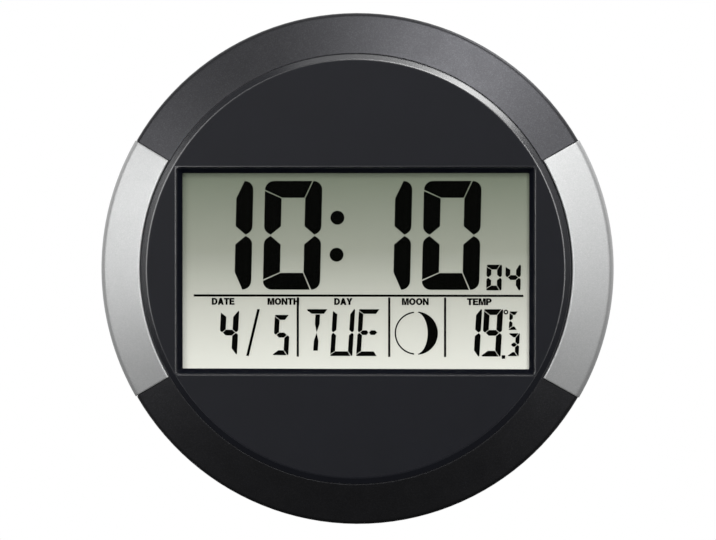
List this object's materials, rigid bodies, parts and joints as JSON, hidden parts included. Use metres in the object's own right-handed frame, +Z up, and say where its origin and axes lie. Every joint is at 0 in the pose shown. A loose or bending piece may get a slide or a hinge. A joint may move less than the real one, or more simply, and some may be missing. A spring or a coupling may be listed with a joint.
{
  "type": "digital wall clock",
  "caption": "Round digital wall clock with a raised dark fascia, silver side trims, a large reflective display, rear keys and a sliding battery door.",
  "frame": {"origin": "centre of the flat back, in the plane of the wall", "axes": "+X to the right as seen from the front, +Y into the wall, +Z up; the display faces -Y"},
  "size_m": [0.245, 0.028, 0.244],
  "materials": {
    "bezel_grey": "satin anthracite paint with fine metallic flake",
    "trim_silver": "satin silver paint",
    "fascia_black": "satin black moulding",
    "lens_clear": "clear acrylic",
    "gasket_foam": "black foam",
    "polariser_film": "polariser film",
    "display_glass": "display glass",
    "segment_black": "dark liquid crystal segments",
    "seal_epoxy": "epoxy edge seal",
    "reflector_film": "grey-green reflective film",
    "holder_white": "plain moulding",
    "zebra_rubber": "conductive rubber strip",
    "board_green": "coated circuit board",
    "chip_black": "black resin",
    "can_steel": "metal can",
    "capacitor_can": "sleeved can",
    "resistor_body": "ceramic body",
    "sensor_bead": "coated bead",
    "ferrite": "sintered ferrite",
    "copper_wire": "enamelled copper winding",
    "wire_yellow": "wire insulation",
    "wire_red": "wire insulation",
    "wire_black": "wire insulation",
    "cover_black": "fine-grained moulding",
    "cell_jacket": "plain printed jacket",
    "contact_metal": "nickel-plated sheet and spring wire",
    "mat_silicone": "silicone",
    "key_grey": "moulded key caps",
    "screw_steel": "zinc-plated"
  },
  "bodies": {
    "case": {"bezel_ring": "bezel_grey", "side_trim_left": "trim_silver", "side_trim_right": "trim_silver", "fascia": "fascia_black", "window_lens": "lens_clear", "lens_gasket": "gasket_foam", "lcd_front_polariser": "polariser_film", "lcd_front_glass": "display_glass", "lcd_segments": "segment_black", "lcd_seal": "seal_epoxy", "lcd_rear_glass": "display_glass", "lcd_reflector": "reflector_film", "lcd_holder": "holder_white", "zebra_strip": "zebra_rubber", "main_board": "board_green", "clock_chip": "chip_black", "crystal": "can_steel", "capacitors": "capacitor_can", "chip_resistors": "resistor_body", "thermistor": "sensor_bead", "receiver_board": "board_green", "receiver_chip": "chip_black", "ferrite_rod": "ferrite", "antenna_coil": "copper_wire", "antenna_holders": "holder_white", "antenna_leads": "copper_wire", "receiver_leads": "wire_yellow", "rear_cover": "cover_black", "battery_cells": "cell_jacket", "battery_springs": "contact_metal", "bridge_contact": "contact_metal", "positive_contact": "contact_metal", "negative_contact": "contact_metal", "positive_lead": "wire_red", "negative_lead": "wire_black", "key_mat": "mat_silicone", "case_screws": "screw_steel", "holder_screws": "screw_steel", "board_screws": "screw_steel", "antenna_screws": "screw_steel", "receiver_screws": "screw_steel"},
    "battery_door": {"battery_door": "cover_black"},
    "set_key": {"set_key": "key_grey"},
    "plus_key": {"plus_key": "key_grey"},
    "minus_key": {"minus_key": "key_grey"},
    "unit_key": {"unit_key": "key_grey"},
    "wave_key": {"wave_key": "key_grey"},
    "reset_key": {"reset_key": "key_grey"}
  },
  "joints": [
    {"name": "door_slide", "type": "slide", "parent": "case", "child": "battery_door", "axis": [0, 0, -1], "range_m": [0, 0.046]},
    {"name": "set_press", "type": "slide", "parent": "case", "child": "set_key", "axis": [0, -1, 0], "range_m": [0, 0.0012], "stiffness_N_per_m": 800, "deforming": ["key_mat"]},
    {"name": "plus_press", "type": "slide", "parent": "case", "child": "plus_key", "axis": [0, -1, 0], "range_m": [0, 0.0012], "stiffness_N_per_m": 800, "deforming": ["key_mat"]},
    {"name": "minus_press", "type": "slide", "parent": "case", "child": "minus_key", "axis": [0, -1, 0], "range_m": [0, 0.0012], "stiffness_N_per_m": 800, "deforming": ["key_mat"]},
    {"name": "unit_press", "type": "slide", "parent": "case", "child": "unit_key", "axis": [0, -1, 0], "range_m": [0, 0.0012], "stiffness_N_per_m": 800, "deforming": ["key_mat"]},
    {"name": "wave_press", "type": "slide", "parent": "case", "child": "wave_key", "axis": [0, -1, 0], "range_m": [0, 0.0012], "stiffness_N_per_m": 800, "deforming": ["key_mat"]},
    {"name": "reset_press", "type": "slide", "parent": "case", "child": "reset_key", "axis": [0, -1, 0], "range_m": [0, 0.0006], "stiffness_N_per_m": 800, "deforming": ["key_mat"]}
  ]
}
